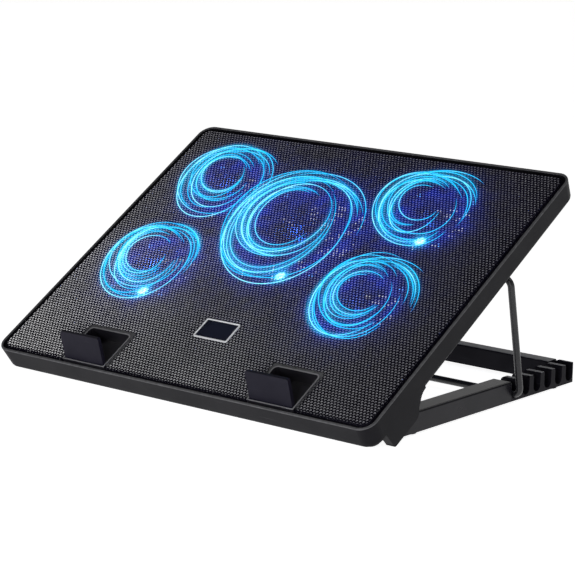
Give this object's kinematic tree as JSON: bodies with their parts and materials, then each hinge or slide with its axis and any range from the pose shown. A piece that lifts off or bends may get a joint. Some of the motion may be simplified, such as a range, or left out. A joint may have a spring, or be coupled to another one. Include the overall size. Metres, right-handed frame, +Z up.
{
  "type": "laptop cooling pad",
  "caption": "Tilted laptop cooling pad: perforated fan tray hinged on a U-shaped base with notched racks, held up by a wire prop, with flip-up stoppers.",
  "frame": {"origin": "bottom centre of the bounding box, on the surface the base stands on", "axes": "+X to the user's right along the hinge, +Y from the user to the rear, +Z up"},
  "size_m": [0.3798, 0.2844, 0.1745],
  "materials": {
    "shell": "fine moulded texture, satin black",
    "mesh": "black painted perforated sheet",
    "cover": "matt black",
    "grille": "matt black",
    "fan_duct": "matt black",
    "rotor": "smoky blue plastic lit from the rim",
    "light": "blue light chip",
    "stand": "satin black",
    "wire": "semi-gloss black paint on steel wire",
    "steel": "plain steel",
    "screw": "black oxide",
    "rubber": "matt rubber",
    "stopper": "fine matt black",
    "pocket": "satin black",
    "badge": "dark blue face with a pale border, blank",
    "bezel": "matt black",
    "socket": "tin-plated shell",
    "board": "green circuit board",
    "rocker": "gloss black"
  },
  "bodies": {
    "base": {"base_arm_left": "stand", "base_rack_left": "stand", "hinge_pin_left": "steel", "base_foot_front_left": "rubber", "base_foot_rear_left": "rubber", "base_arm_right": "stand", "base_rack_right": "stand", "hinge_pin_right": "steel", "base_foot_front_right": "rubber", "base_foot_rear_right": "rubber", "rear_crossbar": "stand"},
    "pad": {"pad_frame": "shell", "top_mesh_panel": "mesh", "bottom_cover": "cover", "cover_screws": "screw", "wire_clip_left": "cover", "wire_clip_right": "cover", "fan_grille_front_left": "grille", "fan_frame_front_left": "fan_duct", "fan_lights_front_left": "light", "fan_grille_front_right": "grille", "fan_frame_front_right": "fan_duct", "fan_lights_front_right": "light", "fan_grille_rear_left": "grille", "fan_frame_rear_left": "fan_duct", "fan_lights_rear_left": "light", "fan_grille_rear_right": "grille", "fan_frame_rear_right": "fan_duct", "fan_lights_rear_right": "light", "fan_grille_middle": "grille", "fan_frame_middle": "fan_duct", "fan_lights_middle": "light", "stopper_pocket_left": "pocket", "stopper_pin_left": "steel", "stopper_pocket_right": "pocket", "stopper_pin_right": "steel", "name_plate": "badge", "control_bezel": "bezel", "circuit_board": "board", "usb_socket_1": "socket", "rocker_cradle_1": "bezel", "usb_socket_2": "socket", "rocker_cradle_2": "bezel"},
    "wire": {"wire_stand": "wire"},
    "stopper_flap_left": {"stopper_left": "stopper"},
    "stopper_flap_right": {"stopper_right": "stopper"},
    "rocker_body_1": {"rocker_1": "rocker"},
    "rocker_body_2": {"rocker_2": "rocker"},
    "rotor_front_left": {"fan_rotor_front_left": "rotor"},
    "rotor_front_right": {"fan_rotor_front_right": "rotor"},
    "rotor_rear_left": {"fan_rotor_rear_left": "rotor"},
    "rotor_rear_right": {"fan_rotor_rear_right": "rotor"},
    "rotor_middle": {"fan_rotor_middle": "rotor"}
  },
  "joints": [
    {"name": "pad_tilt", "type": "hinge", "parent": "base", "child": "pad", "pos_m": [0, -0.10073, 0.00997], "axis": [1, 0, 0], "range_deg": [0, 8]},
    {"name": "wire_swing", "type": "hinge", "parent": "pad", "child": "wire", "pos_m": [0, 0.03909, 0.10258], "axis": [1, 0, 0], "range_deg": [0, 1.2]},
    {"name": "fan_front_left_spin", "type": "hinge", "parent": "pad", "child": "rotor_front_left", "pos_m": [-0.112, -0.03281, 0.0733], "axis": [0, -0.5225, 0.8526], "continuous": true},
    {"name": "fan_front_right_spin", "type": "hinge", "parent": "pad", "child": "rotor_front_right", "pos_m": [0.096, -0.03281, 0.0733], "axis": [0, -0.5225, 0.8526], "continuous": true},
    {"name": "fan_rear_left_spin", "type": "hinge", "parent": "pad", "child": "rotor_rear_left", "pos_m": [-0.112, 0.05757, 0.12868], "axis": [0, -0.5225, 0.8526], "continuous": true},
    {"name": "fan_rear_right_spin", "type": "hinge", "parent": "pad", "child": "rotor_rear_right", "pos_m": [0.096, 0.05757, 0.12868], "axis": [0, -0.5225, 0.8526], "continuous": true},
    {"name": "fan_middle_spin", "type": "hinge", "parent": "pad", "child": "rotor_middle", "pos_m": [-0.008, 0.02347, 0.10778], "axis": [0, -0.5225, 0.8526], "continuous": true},
    {"name": "stopper_left_fold", "type": "hinge", "parent": "pad", "child": "stopper_flap_left", "pos_m": [-0.09525, -0.134, 0.02102], "axis": [-1, 0, 0], "range_deg": [0, 74]},
    {"name": "stopper_right_fold", "type": "hinge", "parent": "pad", "child": "stopper_flap_right", "pos_m": [0.09525, -0.134, 0.02102], "axis": [-1, 0, 0], "range_deg": [0, 74]},
    {"name": "rocker_1_press", "type": "hinge", "parent": "pad", "child": "rocker_body_1", "pos_m": [-0.051, 0.11379, 0.16383], "axis": [0, -0.5225, 0.8526], "range_deg": [0, 16]},
    {"name": "rocker_2_press", "type": "hinge", "parent": "pad", "child": "rocker_body_2", "pos_m": [-0.029, 0.11379, 0.16383], "axis": [0, -0.5225, 0.8526], "range_deg": [0, 16]}
  ],
  "couplings": [
    {"joint": "wire_swing", "follows": "pad_tilt", "ratio": 0.12}
  ]
}
